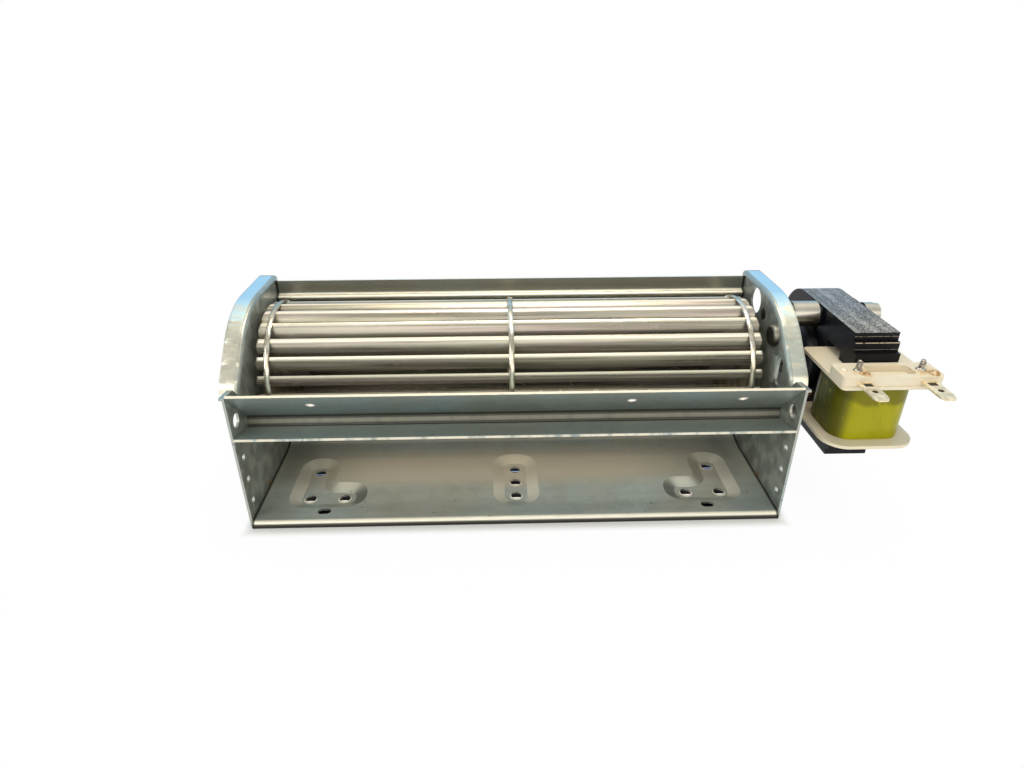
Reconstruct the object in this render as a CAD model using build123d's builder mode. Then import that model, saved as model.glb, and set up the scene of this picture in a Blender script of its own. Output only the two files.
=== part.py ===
from build123d import *
import math
import os

# Cross flow fan: a folded sheet housing, a drum impeller on a stub shaft and the
# motor's shaft, and a shaded pole motor carried on two standoffs at the right end.
# Millimetres. X runs along the impeller, -Y is the outlet side, +Z is up.
# The origin is the centre of the base screw pattern, on the plane of the feet.

# Housing sheet
sheet = 1.0
housing_length = 226.0
shaft_setback = 28.5
bend_radius = 1.6

# Drum of the impeller, which the housing is drawn around
drum_radius = 30.0
drum_left_gap = 6.25
drum_right_gap = 9.45

# End plate outline, measured from the shaft
crown_gap = 4.5
crown_rear_set = 3.8
crown_bend_y = -15.2
crown_radius = 40.0
face_y = -41.2
face_top = 9.9
face_radius = 7.5
rim_end = 6.3
neck_y = -47.0
neck_top = 12.3
plate_front = 55.5
plate_front_top = 13.4
plate_skirt = 1.9
skirt_stop = 6.0
rim_width = 7.0
neck_rim_width = 1.2

# Scroll: gaps from the drum to the back curve, the floor and the ledge above it
scroll_gap = 10.8
floor_gap = 15.5
ledge_gap = 3.2
ledge_angle = 52.1
ledge_rise = 2.2
ledge_undercut = 1.8
ledge_nose_radius = 0.8
lip_set = 3.3
lip_rise = 6.7
front_lip = 2.5
front_lip_y = 57.0

# Tabs that lock the scroll and the front channel into the end plates
tab_length = 7.0
tab_stand = 1.4
tab_play = 0.2
channel_tab_inset = 4.0
floor_tab_y = (-44.0, -18.0)
scroll_tab_angles = (-48.0, -4.0, 30.0)

# Front channel, measured from the shaft to its visible face
channel_top = (-55.2, 13.3)
channel_nose_top = (-38.2, -4.9)
channel_nose_low = (-38.8, -8.9)
channel_low = (-55.6, -5.0)
channel_hole_radius = 1.5
channel_hole_left_set = 31.0
channel_hole_right_sets = (67.0, 22.0)
channel_hole_down = 9.8

# Pressed feet in the floor; the sets are counted from the outside of the end plates
foot_drop = 2.2
foot_slope = 5.2
foot_corner = 8.1
foot_inner_corner = 3.0
foot_half_width = 9.0
foot_toe = 1.0
base_hole_radius = 2.4
base_hole_set = 21.25
base_pair_pitch = 15.15
base_hole_y = 9.8
centre_foot_half_length = 19.8
centre_foot_half_width = 10.3
centre_foot_corner = 9.3
drain_slot_set = 30.0
drain_slot_y = -21.5
drain_slot_length = 5.6
drain_slot_width = 3.6

# Holes near the front edge of both end plates, measured from the shaft
side_hole_y = -49.9
side_hole_radius = 1.5
side_hole_z = -27.8
side_hole_pitch = 10.8
side_port_y = -49.1
side_port_radius = 3.0

# Holes and fittings of the right end plate, measured from the shaft
port_y = 6.7
port_z = 27.0
port_radius = 5.9
stud_y = -20.0
stud_z = 21.0
stud_head_radius = 4.7
stud_head_height = 2.4
stud_shank_radius = 2.0
stud_foot_radius = 3.8
lance_y = -27.5
lance_z = 8.6
lance_height = 12.5
lance_width = 2.2
lance_stand = 1.4
lance_gap = 5.0

# Impeller
blade_count = 23
blade_set = 0.6
blade_depth = 7.4
blade_gauge = 0.5
blade_tip_angle = 14.0
blade_overhang = 3.8
blade_corner = 1.6
blade_phase = 2.1
blade_play = 0.06
disc_gauge = 0.8
disc_rim = 2.2
ring_lap = 1.8
hub_radius = 8.0
hub_length = 12.0
hub_screw_radius = 1.5
hub_screw_set = 0.5
hub_screw_floor = 2.0
hub_screw_key = 0.75

# Shafts and bearings
shaft_radius = 3.0
running_play = 0.04
bush_radius = 5.0
bush_length = 7.0
washer_gauge = 0.8
grommet_radius = 10.0
grommet_hole_radius = 8.0
grommet_lip = 2.2
shaft_port_radius = 7.0

# Motor, measured from the shaft and from the outer face of the right end plate
motor_standoff = 23.75
stack_length = 18.25
yoke_half_height = 29.2
yoke_rear_corner = 16.4
yoke_front = 37.0
yoke_step = 1.8
yoke_step_height = 3.5
window_front_wall = 17.0
window_half_height = 17.5
stator_bore_radius = 14.8
rotor_play = 0.3
rotor_ring = 2.0
shade_hole = 2.6
shade_wire = 2.0
shade_radius = 18.6
shade_angle = 50.0
shade_half_angle = 15.0
core_front = 41.0
core_depth = 11.5
core_half_height = 21.5
screw_y = -4.0
screw_z = 24.4
screw_radius = 2.0
screw_head_radius = 4.4
screw_head_height = 2.4
screw_play = 0.2
standoff_radius = 4.85
standoff_neck_radius = 2.6
standoff_collar_radius = 5.7
standoff_collar_set = 11.0
collar_length = 4.3
bracket_gauge = 1.5
bracket_cup_radius = 15.7
bracket_cup_depth = 5.5
bracket_arm_width = 8.0
boss_radius = 7.5
boss_length = 5.0

# Coil and terminals, measured from the shaft; x from the middle of the stack
bobbin_y = -36.0
bobbin_half_width = 19.2
bobbin_half_depth = 19.0
bobbin_corner = 10.0
bobbin_top = 14.0
bobbin_low = -14.9
bobbin_flange = 1.4
bobbin_wall = 1.2
core_play = 0.15
coil_half_width = 14.8
coil_half_depth = 13.8
coil_corner = 8.0
tape_gauge = 0.6
block_shift = 0.7
block_half_width = 20.0
block_front = 54.5
block_rear = 41.6
block_top = 18.0
block_corner = 2.0
block_recess_width = 18.0
block_recess_depth = 7.5
block_recess_drop = 2.6
terminal_shift = 1.7
terminal_half_pitch = 12.65
terminal_width = 6.3
terminal_gauge = 0.8
terminal_reach = 14.4
terminal_z = 16.0
terminal_root = 9.0
terminal_hole_radius = 0.9
terminal_hole_back = 6.6
terminal_tip_chamfer = 1.4
post_radius = 0.6
post_height = 6.5
post_back = 6.5

# Sizes that follow from those above
selector_reach = 0.01
half_length = housing_length / 2
bend_inner = bend_radius - sheet
inner_face = half_length - sheet
drum_left = -inner_face + drum_left_gap
drum_right = inner_face - drum_right_gap
blade_outer = drum_radius - blade_set
blade_inner = blade_outer - blade_depth
ring_inner = blade_inner - ring_lap
floor_drop = drum_radius + floor_gap
shaft_height = floor_drop + sheet + foot_drop
scroll_radius = drum_radius + scroll_gap
scroll_middle = scroll_radius + sheet / 2
scroll_centre_z = scroll_radius - floor_drop
ledge_front = (drum_radius + ledge_gap) * math.cos(math.radians(ledge_angle))
ledge_height = (drum_radius + ledge_gap) * math.sin(math.radians(ledge_angle))
scroll_end_angle = math.degrees(math.asin((ledge_height - ledge_rise - scroll_centre_z) / scroll_middle))
scroll_centre_y = ledge_front + ledge_undercut - scroll_middle * math.cos(math.radians(scroll_end_angle))
lip_y = ledge_front + lip_set
lip_top = ledge_height + lip_rise
crown_rear = lip_y + crown_rear_set
crown_height = drum_radius + crown_gap
base_hole_x = half_length - base_hole_set
base_pair_x = base_hole_x - base_pair_pitch
drain_slot_x = half_length - drain_slot_set
channel_hole_x = [channel_hole_left_set - half_length] + [half_length - s for s in channel_hole_right_sets]
stack_left = half_length + motor_standoff
stack_right = stack_left + stack_length
stack_middle = stack_left + stack_length / 2

# Sections are drawn looking along the shaft: local x is +Y, local y is +Z,
# and both are counted from the shaft
side = Plane(origin=(0, shaft_setback, shaft_height), x_dir=(0, 1, 0), z_dir=(1, 0, 0))

os.makedirs("parts", exist_ok=True)


def hand_over(part, name):
    """Label a finished piece and write it as a STEP file of the same name."""
    part.label = name
    export_step(part, f"parts/{name}.step")


def crown_path(inset):
    """The bend line over the top and front of an end plate, moved inwards by inset."""
    slope = math.atan2(crown_height - face_top, crown_bend_y - face_y)
    return FilletPolyline(
        (crown_rear, crown_height - inset),
        (crown_bend_y + inset * math.tan(slope / 2), crown_height - inset),
        (face_y + inset, face_top - inset * math.tan(math.pi / 4 - slope / 2)),
        (face_y + inset, rim_end),
        radius=[crown_radius - inset, face_radius - inset],
    )


def tube(start, end, outer, bore=0.0, y=0.0, z=0.0, mode=Mode.ADD):
    """A round bar or sleeve along the shaft direction, from x = start to x = end."""
    with BuildSketch(side.offset(start)) as ring:
        with Locations((y, z)):
            Circle(outer)
            if bore:
                Circle(bore, mode=Mode.SUBTRACT)
    extrude(ring.sketch, amount=end - start, mode=mode)


def tab_stations():
    """Middle of each locking tab of the scroll, as y, z and turn in degrees."""
    stations = [(y, -floor_drop - sheet / 2, 0) for y in floor_tab_y]
    for angle in scroll_tab_angles:
        turn = math.radians(angle)
        y = scroll_centre_y + scroll_middle * math.cos(turn)
        z = scroll_centre_z + scroll_middle * math.sin(turn)
        stations.append((y, z, angle + 90))
    return stations


def channel_stations():
    """Middle of each locking tab of the front channel, as y, z and turn in degrees."""
    upper = Vector(*channel_nose_top) - Vector(*channel_top)
    lower = Vector(*channel_nose_low) - Vector(*channel_low)
    stations = []
    for start, run, sense in ((channel_top, upper, 1), (channel_low, lower, -1)):
        along = run.normalized()
        behind = Vector(-along.Y, along.X) * sense
        spot = Vector(*start) + along * (tab_length / 2 + channel_tab_inset) + behind * (sheet / 2)
        stations.append((spot.X, spot.Y, math.degrees(math.atan2(along.Y, along.X))))
    return stations


def tab_profiles(stations, play):
    """Rectangles of the tabs, widened by play for the slots that take them."""
    for y, z, turn in stations:
        with Locations(Location((y, z), turn)):
            Rectangle(tab_length + 2 * play, sheet + 2 * play)


def end_plate_blank(hand):
    """A pressed end plate: -1 for the left one, 1 for the right one."""
    inner_middle = bend_radius - bend_inner * math.sqrt(0.5)
    outer_middle = bend_radius * (1 - math.sqrt(0.5))
    with BuildPart() as blank:
        with BuildSketch(side.offset(hand * inner_face)):
            with BuildLine():
                crown_path(bend_radius)
                Polyline(
                    (face_y + bend_radius, rim_end),
                    (face_y + bend_radius, rim_end - sheet),
                    (neck_y, neck_top),
                    (-plate_front, plate_front_top),
                    (-plate_front, -skirt_drop),
                    (scroll_centre_y, -skirt_drop),
                )
                CenterArc((scroll_centre_y, scroll_centre_z), skirt_radius, -90, 90 + skirt_end_angle)
                Polyline(skirt_end, (crown_rear, crown_height - bend_radius))
            make_face()
        extrude(amount=hand * sheet)
        # Wide rim turned outwards over the crown, with its rounded bend
        with BuildLine(side.offset(hand * inner_face)) as crown:
            crown_path(0)
        with BuildSketch(Plane(origin=crown.line @ 0, x_dir=(hand, 0, 0), z_dir=crown.line % 0)):
            with BuildLine():
                Polyline((0, -hand * bend_radius), (sheet, -hand * bend_radius))
                ThreePointArc(
                    (sheet, -hand * bend_radius),
                    (inner_middle, -hand * inner_middle),
                    (bend_radius, -hand * sheet),
                )
                Polyline(
                    (bend_radius, -hand * sheet),
                    (sheet + rim_width, -hand * sheet),
                    (sheet + rim_width, 0),
                    (bend_radius, 0),
                )
                ThreePointArc(
                    (bend_radius, 0),
                    (outer_middle, -hand * outer_middle),
                    (0, -hand * bend_radius),
                )
            make_face()
        sweep(path=crown.line)
        # Narrow rim over the neck that carries the front channel
        with BuildSketch(side.offset(hand * inner_face)):
            with BuildLine():
                Polyline(
                    (face_y + bend_radius, rim_end - 2 * sheet),
                    (neck_y + sheet / 4, neck_top - sheet / 2),
                    (-plate_front, plate_front_top - sheet / 2),
                )
            trace(line_width=sheet)
        extrude(amount=hand * (sheet + neck_rim_width))
        # The wide rim tapers off at its lower end
        taper = rim_width - neck_rim_width / 2
        with BuildSketch(Plane.XZ.offset(-shaft_setback - face_y - 3 * sheet)):
            with BuildLine():
                Polyline(
                    (hand * (half_length + rim_width - taper), shaft_height + rim_end - sheet / 2),
                    (hand * (half_length + rim_width + sheet), shaft_height + rim_end - sheet / 2),
                    (hand * (half_length + rim_width + sheet), shaft_height + rim_end + taper),
                    close=True,
                )
            make_face()
        extrude(amount=4 * sheet, mode=Mode.SUBTRACT)
        # Slots for the locking tabs, and the holes beside the outlet
        with BuildSketch(side.offset(hand * inner_face)):
            tab_profiles(tab_stations() + channel_stations(), tab_play)
            with Locations((side_port_y, 0)):
                Circle(side_port_radius)
            with Locations(*[(side_hole_y, side_hole_z + step * side_hole_pitch) for step in (-1, 0, 1)]):
                Circle(side_hole_radius)
        extrude(amount=hand * sheet, mode=Mode.SUBTRACT)
    return blank.part


skirt_drop = floor_drop + sheet + plate_skirt
skirt_radius = skirt_drop + scroll_centre_z
skirt_end_angle = scroll_end_angle - skirt_stop
skirt_end = (
    scroll_centre_y + skirt_radius * math.cos(math.radians(skirt_end_angle)),
    scroll_centre_z + skirt_radius * math.sin(math.radians(skirt_end_angle)),
)

# Left end plate, with the hole that holds the bearing's rubber ring
with BuildPart() as left_end_plate:
    add(end_plate_blank(-1))
    with BuildSketch(side.offset(-half_length)):
        Circle(grommet_hole_radius)
    extrude(amount=sheet, mode=Mode.SUBTRACT)
hand_over(left_end_plate.part, "left_end_plate")

# Right end plate, with the shaft port, a round port, the stud and a lanced bridge
with BuildPart() as right_end_plate:
    add(end_plate_blank(1))
    with BuildSketch(side.offset(inner_face)):
        Circle(shaft_port_radius)
        with Locations((port_y, port_z)):
            Circle(port_radius)
        with Locations((stud_y, stud_z)):
            Circle(stud_shank_radius)
        with Locations((screw_y, screw_z), (screw_y, -screw_z)):
            Circle(standoff_neck_radius)
        with Locations((lance_y - lance_gap / 2, lance_z)):
            SlotOverall(lance_height, lance_gap, rotation=90)
    extrude(amount=sheet, mode=Mode.SUBTRACT)
    with BuildSketch(Plane.XY.offset(shaft_height + lance_z - lance_height / 2)):
        with BuildLine():
            FilletPolyline(
                (half_length, shaft_setback + lance_y + sheet / 2),
                (inner_face - lance_stand, shaft_setback + lance_y + sheet / 2),
                (inner_face - lance_stand, shaft_setback + lance_y + lance_width),
                radius=sheet,
            )
        trace(line_width=sheet)
    extrude(amount=lance_height)
hand_over(right_end_plate.part, "right_end_plate")

# Scroll: one folded sheet with the outlet floor, the back curve, the ledge and its lip
def foot_outline(inset):
    """Outline of the left L-shaped foot, moved inwards by inset."""
    half = foot_half_width - inset
    toe = -base_pair_x + foot_toe + half
    corner = foot_corner - inset
    FilletPolyline(
        (-base_hole_x - half, base_hole_y + half),
        (-base_hole_x + half, base_hole_y + half),
        (-base_hole_x + half, -base_hole_y + half),
        (toe, -base_hole_y + half),
        (toe, -base_hole_y - half),
        (-base_hole_x - half, -base_hole_y - half),
        radius=[corner, corner, foot_inner_corner + inset, corner, corner, corner],
        close=True,
    )


def foot_section(shape, level, inset):
    """Section of one foot at a level: the L shapes at the ends or the oval in the middle."""
    with BuildSketch(Plane.XY.offset(level)) as section:
        if shape == "centre":
            RectangleRounded(
                2 * (centre_foot_half_width - inset),
                2 * (centre_foot_half_length - inset),
                centre_foot_corner - inset,
            )
        else:
            with BuildLine():
                foot_outline(inset)
            make_face()
            if shape == "right":
                mirror(about=Plane.YZ, mode=Mode.REPLACE)
    return section.sketch


def pressed_feet(level, kind):
    """The three feet, each a ruled loft from the floor down to its flat."""
    for shape in ("left", "centre", "right"):
        top = foot_section(shape, level, 0.0)
        flat = foot_section(shape, level - foot_drop, foot_slope)
        loft([top, flat], ruled=True, mode=kind)


with BuildPart() as scroll_sheet:
    with BuildSketch(side.offset(-inner_face)):
        with BuildLine():
            low = -floor_drop - sheet / 2
            curve_end = (ledge_front + ledge_undercut, ledge_height - ledge_rise)
            FilletPolyline(
                (-front_lip_y + sheet / 2, low - front_lip),
                (-front_lip_y + sheet / 2, low),
                (scroll_centre_y, low),
                radius=bend_radius,
            )
            CenterArc((scroll_centre_y, scroll_centre_z), scroll_middle, -90, 90 + scroll_end_angle)
            FilletPolyline(
                curve_end,
                (ledge_front, ledge_height - sheet / 2),
                (lip_y + sheet / 2, ledge_height - sheet / 2),
                (lip_y + sheet / 2, lip_top),
                radius=[ledge_nose_radius, bend_radius],
            )
        trace(line_width=sheet)
    extrude(amount=2 * inner_face)
    floor_level = shaft_height - floor_drop
    pressed_feet(floor_level - sheet, Mode.ADD)
    pressed_feet(floor_level, Mode.SUBTRACT)
    with BuildSketch(Plane.XY.offset(-sheet)):
        with GridLocations(2 * base_hole_x, 2 * base_hole_y, 2, 2):
            Circle(base_hole_radius)
        with Locations((-base_pair_x, -base_hole_y), (base_pair_x, -base_hole_y)):
            Circle(base_hole_radius)
        with GridLocations(1, base_hole_y, 1, 3):
            Circle(base_hole_radius)
        with Locations((-drain_slot_x, drain_slot_y), (drain_slot_x, drain_slot_y)):
            SlotOverall(drain_slot_length, drain_slot_width)
    extrude(amount=floor_level + 2 * sheet, mode=Mode.SUBTRACT)
    with BuildSketch(side.offset(-half_length - tab_stand)):
        tab_profiles(tab_stations(), 0)
    extrude(amount=sheet + tab_stand)
    with BuildSketch(side.offset(inner_face)):
        tab_profiles(tab_stations(), 0)
    extrude(amount=sheet + tab_stand)
hand_over(scroll_sheet.part, "scroll_sheet")

# Front channel: the trough between intake and outlet, open to the front
with BuildPart() as front_channel:
    with BuildSketch(side.offset(-inner_face)):
        with BuildLine():
            FilletPolyline(channel_top, channel_nose_top, channel_nose_low, channel_low, radius=sheet / 2)
            offset(amount=sheet, side=Side.LEFT)
        make_face()
    extrude(amount=2 * inner_face)
    upper_run = Vector(*channel_nose_top) - Vector(*channel_top)
    hole_spot = Vector(*channel_top) + upper_run.normalized() * channel_hole_down
    hole_face = Plane(
        origin=(0, shaft_setback + hole_spot.X, shaft_height + hole_spot.Y),
        x_dir=(1, 0, 0),
        z_dir=(0, -upper_run.Y, upper_run.X),
    )
    with BuildSketch(hole_face.offset(-sheet)):
        with Locations(*[(x, 0) for x in channel_hole_x]):
            Circle(channel_hole_radius)
    extrude(amount=3 * sheet, mode=Mode.SUBTRACT)
    for start in (-half_length - tab_stand, inner_face):
        with BuildSketch(side.offset(start)):
            tab_profiles(channel_stations(), 0)
        extrude(amount=sheet + tab_stand)
hand_over(front_channel.part, "front_channel")


# Impeller: forward curved blades held by slotted discs
def blade_section(play):
    """Section of one blade, an arc from the inner to the outer radius, widened by play."""
    arc = (blade_outer**2 - blade_inner**2) / (2 * blade_outer * math.cos(math.radians(blade_tip_angle)))
    reach = math.hypot(arc, blade_inner)
    lean = math.acos((blade_outer**2 + reach**2 - arc**2) / (2 * blade_outer * reach))
    root = Vector(blade_inner, 0).rotate(Axis.Z, math.degrees(math.atan2(arc, blade_inner)))
    tip = Vector(blade_outer, 0).rotate(Axis.Z, math.degrees(lean))
    start = math.degrees(math.atan2(root.Y, root.X - reach))
    end = math.degrees(math.atan2(tip.Y, tip.X - reach))
    with BuildSketch() as section:
        with BuildLine():
            CenterArc((reach, 0), arc, start, end - start)
        trace(line_width=blade_gauge + 2 * play)
    return section.sketch


def blade_ring(play):
    """All the blade sections round the shaft."""
    with PolarLocations(0, blade_count, start_angle=blade_phase):
        add(blade_section(play))


tip_left = drum_left - blade_overhang
tip_right = drum_right + blade_overhang
with BuildPart() as impeller_blades:
    with BuildSketch(side.offset(tip_left)):
        blade_ring(0)
    extrude(amount=tip_right - tip_left)
    with BuildSketch(Plane.XZ.offset(-shaft_setback)):
        with BuildLine():
            FilletPolyline(
                (tip_left, shaft_height + blade_inner - sheet),
                (tip_left, shaft_height + blade_outer),
                (tip_right, shaft_height + blade_outer),
                (tip_right, shaft_height + blade_inner - sheet),
                radius=blade_corner,
                close=True,
            )
        make_face()
    revolve(axis=Axis((0, shaft_setback, shaft_height), (1, 0, 0)), mode=Mode.INTERSECT)
hand_over(impeller_blades.part, "impeller_blades")


def slotted_disc(face, inward, bore, name):
    """A pressed disc at x = face with a rolled rim towards inward, slotted for the blades."""
    with BuildPart() as disc:
        with BuildSketch(side.offset(face)):
            Circle(drum_radius)
            Circle(bore, mode=Mode.SUBTRACT)
        extrude(amount=inward * disc_gauge)
        with BuildSketch(side.offset(face)):
            Circle(drum_radius)
            Circle(drum_radius - sheet / 2, mode=Mode.SUBTRACT)
        extrude(amount=inward * disc_rim)
        circles = disc.edges().filter_by(GeomType.CIRCLE)
        fillet(circles.filter_by(lambda e: e.radius > drum_radius - selector_reach), sheet / 5)
        with BuildSketch(side.offset(face)):
            blade_ring(blade_play)
        extrude(amount=inward * disc_gauge, mode=Mode.SUBTRACT)
    hand_over(disc.part, name)


slotted_disc(drum_left, 1, shaft_radius, "left_end_disc")
slotted_disc(drum_right, -1, shaft_radius, "right_end_disc")
slotted_disc((drum_left + drum_right - disc_rim) / 2, 1, ring_inner, "middle_ring")

# Hubs: turned bosses inside the end discs, the left one with a stub shaft, the right one clamped
stub_end = -half_length - bush_length / 2 - sheet
with BuildPart() as left_hub:
    tube(drum_left + disc_gauge, drum_left + disc_gauge + hub_length, hub_radius)
    tube(stub_end, drum_left + disc_gauge, shaft_radius)
hand_over(left_hub.part, "left_hub")

hub_start = drum_right - disc_gauge - hub_length
with BuildPart() as right_hub:
    tube(hub_start, drum_right - disc_gauge, hub_radius, shaft_radius)
    with BuildSketch(Plane.XY.offset(shaft_height)):
        with Locations((hub_start + hub_length / 2, shaft_setback)):
            Circle(hub_screw_radius)
    extrude(amount=hub_radius, mode=Mode.SUBTRACT)
hand_over(right_hub.part, "right_hub")

with BuildPart() as hub_screw:
    with BuildSketch(Plane.XY.offset(shaft_height + shaft_radius)):
        with Locations((hub_start + hub_length / 2, shaft_setback)):
            Circle(hub_screw_radius)
            RegularPolygon(hub_screw_key, 6, mode=Mode.SUBTRACT)
    extrude(amount=hub_radius - shaft_radius - hub_screw_set)
    with BuildSketch(Plane.XY.offset(shaft_height + shaft_radius)):
        with Locations((hub_start + hub_length / 2, shaft_setback)):
            Circle(hub_screw_radius)
    extrude(amount=hub_screw_floor)
hand_over(hub_screw.part, "hub_screw")

# Left bearing: a sintered bush in a rubber ring that grips the end plate's hole
bush_start = -half_length + sheet / 2 - bush_length / 2
with BuildPart() as left_bush:
    tube(bush_start, bush_start + bush_length, bush_radius, shaft_radius + running_play)
hand_over(left_bush.part, "left_bush")

with BuildPart() as left_grommet:
    for start, end, outer in (
        (-half_length - grommet_lip, -half_length, grommet_radius),
        (-half_length, -inner_face, grommet_hole_radius),
        (-inner_face, -inner_face + grommet_lip - sheet / 5, grommet_radius),
    ):
        tube(start, end, outer, bush_radius)
hand_over(left_grommet.part, "left_grommet")

bush_end = bush_start + bush_length
with BuildPart() as left_thrust_washer:
    tube(bush_end, bush_end + washer_gauge, bush_radius, shaft_radius + running_play)
hand_over(left_thrust_washer.part, "left_thrust_washer")

# Motor shaft, through the inner bearing, the rotor and the outer bearing
bracket_face = stack_left - bracket_cup_depth
outer_bracket_face = stack_right + bracket_cup_depth
with BuildPart() as motor_shaft:
    tube(hub_start, outer_bracket_face + boss_length + sheet, shaft_radius)
    chamfer(motor_shaft.edges().filter_by(GeomType.CIRCLE), sheet / 2)
hand_over(motor_shaft.part, "motor_shaft")

rotor_radius = stator_bore_radius - rotor_play
with BuildPart() as rotor:
    tube(stack_left, stack_right, rotor_radius, shaft_radius)
    for start in (stack_left - rotor_ring, stack_right):
        tube(start, start + rotor_ring, rotor_radius - sheet, rotor_radius / 2)
hand_over(rotor.part, "rotor")

# Stator: the C shaped stack, with the shaft bore, shading holes and screw holes
with BuildPart() as stator_yoke:
    with BuildSketch(side.offset(stack_left)):
        with BuildLine():
            FilletPolyline(
                (-yoke_front, yoke_half_height),
                (yoke_half_height, yoke_half_height),
                (yoke_half_height, -yoke_half_height),
                (-yoke_front, -yoke_half_height),
                radius=yoke_rear_corner,
            )
            for half in (yoke_half_height, -yoke_half_height):
                sense = math.copysign(1, half)
                step = half - sense * yoke_step_height
                Polyline(
                    (-yoke_front, half),
                    (-yoke_front, step),
                    (-yoke_front - yoke_step, step),
                    (-yoke_front - yoke_step, sense * core_half_height),
                    (-core_front + core_depth, sense * core_half_height),
                    (-core_front + core_depth, sense * window_half_height),
                    (-window_front_wall, sense * window_half_height),
                )
            Line((-window_front_wall, window_half_height), (-window_front_wall, -window_half_height))
        make_face()
        Circle(stator_bore_radius, mode=Mode.SUBTRACT)
        with Locations((screw_y, screw_z), (screw_y, -screw_z)):
            Circle(screw_radius + screw_play, mode=Mode.SUBTRACT)
        for angle in (shade_angle - shade_half_angle, shade_angle + shade_half_angle):
            with PolarLocations(shade_radius, 2, start_angle=angle):
                Rectangle(shade_hole, shade_hole, mode=Mode.SUBTRACT)
    extrude(amount=stack_length)
hand_over(stator_yoke.part, "stator_yoke")

with BuildPart() as coil_core:
    with BuildSketch(side.offset(stack_left)):
        with Locations((-core_front + core_depth / 2, 0)):
            Rectangle(core_depth, 2 * core_half_height)
    extrude(amount=stack_length)
hand_over(coil_core.part, "coil_core")

# Shading rings: closed copper loops through the stack, beside the rotor bore
bar_length = 2 * shade_radius * math.sin(math.radians(shade_half_angle)) + shade_wire
bar_reach = shade_radius * math.cos(math.radians(shade_half_angle))
with BuildPart() as shading_rings:
    for turn in (-shade_half_angle, shade_half_angle):
        with BuildSketch(side.offset(stack_left - shade_wire)) as leg:
            with PolarLocations(shade_radius, 2, start_angle=shade_angle + turn):
                Rectangle(shade_wire, shade_wire)
        extrude(leg.sketch, amount=stack_length + 2 * shade_wire)
    for start in (stack_left - shade_wire, stack_right):
        with BuildSketch(side.offset(start)) as bar:
            with PolarLocations(bar_reach, 2, start_angle=shade_angle):
                Rectangle(shade_wire, bar_length)
        extrude(bar.sketch, amount=shade_wire)
hand_over(shading_rings.part, "shading_rings")


def bearing_bracket(face, outward, name):
    """A cast bridge with a dished cup over the rotor, two arms and a bearing boss."""
    with BuildPart() as bracket:
        with BuildSketch(side.offset(face)) as arms:
            Rectangle(bracket_arm_width, 2 * (screw_z + bracket_arm_width / 2))
            with Locations((screw_y / 2, screw_z), (screw_y / 2, -screw_z)):
                RectangleRounded(bracket_arm_width + abs(screw_y), bracket_arm_width, bracket_gauge)
        extrude(arms.sketch, amount=outward * bracket_gauge)
        cup_end = face + outward * bracket_cup_depth
        boss_end = cup_end + outward * boss_length
        tube(face, cup_end, bracket_cup_radius)
        cup_rim = bracket.edges().filter_by(lambda e: abs(e.center().X - cup_end) < selector_reach)
        fillet(cup_rim.filter_by(GeomType.CIRCLE), 2 * bracket_gauge)
        tube(cup_end - outward * bracket_gauge, boss_end, boss_radius)
        boss_rim = bracket.edges().filter_by(lambda e: abs(e.center().X - boss_end) < selector_reach)
        fillet(boss_rim.filter_by(GeomType.CIRCLE), bracket_gauge)
        cup_bore = bracket_cup_radius - bracket_gauge
        tube(face, cup_end - outward * bracket_gauge, cup_bore, mode=Mode.SUBTRACT)
        tube(face, boss_end, bush_radius, mode=Mode.SUBTRACT)
        arm_end = face + outward * bracket_gauge
        for z in (screw_z, -screw_z):
            tube(face, arm_end, screw_radius + screw_play, y=screw_y, z=z, mode=Mode.SUBTRACT)
    hand_over(bracket.part, name)


bearing_bracket(stack_left, -1, "inner_bracket")
bearing_bracket(stack_right, 1, "outer_bracket")

for name, start in (
    ("inner_bearing", bracket_face - boss_length),
    ("outer_bearing", outer_bracket_face + boss_length - bush_length),
):
    with BuildPart() as bearing:
        tube(start, start + bush_length, bush_radius, shaft_radius + running_play)
    hand_over(bearing.part, name)

# Two long screws clamp the stack between the brackets and hold it on swaged standoffs
standoff_step = half_length + standoff_collar_set
with BuildPart() as standoffs:
    for z in (screw_z, -screw_z):
        tube(inner_face, half_length, standoff_neck_radius, screw_radius, screw_y, z)
        tube(half_length, standoff_step, standoff_radius, screw_radius, screw_y, z)
        tube(standoff_step, stack_left - bracket_gauge, standoff_collar_radius, screw_radius, screw_y, z)
hand_over(standoffs.part, "standoffs")

collar_start = stack_right + bracket_gauge
with BuildPart() as screw_collars:
    for z in (screw_z, -screw_z):
        tube(collar_start, collar_start + collar_length, standoff_radius, screw_radius + screw_play, screw_y, z)
hand_over(screw_collars.part, "screw_collars")

head_start = collar_start + collar_length
with BuildPart() as motor_screws:
    for z in (screw_z, -screw_z):
        tube(inner_face, head_start, screw_radius, y=screw_y, z=z)
        tube(head_start, head_start + screw_head_height, screw_head_radius, y=screw_y, z=z)
        for turn in (0, 90):
            with BuildSketch(side.offset(head_start + screw_head_height)) as slot:
                with Locations(Location((screw_y, z), turn)):
                    Rectangle(screw_head_radius, sheet)
            extrude(slot.sketch, amount=-screw_head_height / 2, mode=Mode.SUBTRACT)
hand_over(motor_screws.part, "motor_screws")

# Stud with a domed head in the right end plate
with BuildPart() as plate_stud:
    tube(inner_face - stud_head_height, inner_face, stud_head_radius, y=stud_y, z=stud_z)
    fillet(plate_stud.edges().group_by(Axis.X)[0], stud_head_height / 2)
    tube(inner_face, half_length, stud_shank_radius, y=stud_y, z=stud_z)
    tube(half_length, half_length + sheet, stud_foot_radius, y=stud_y, z=stud_z)
hand_over(plate_stud.part, "plate_stud")


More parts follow.
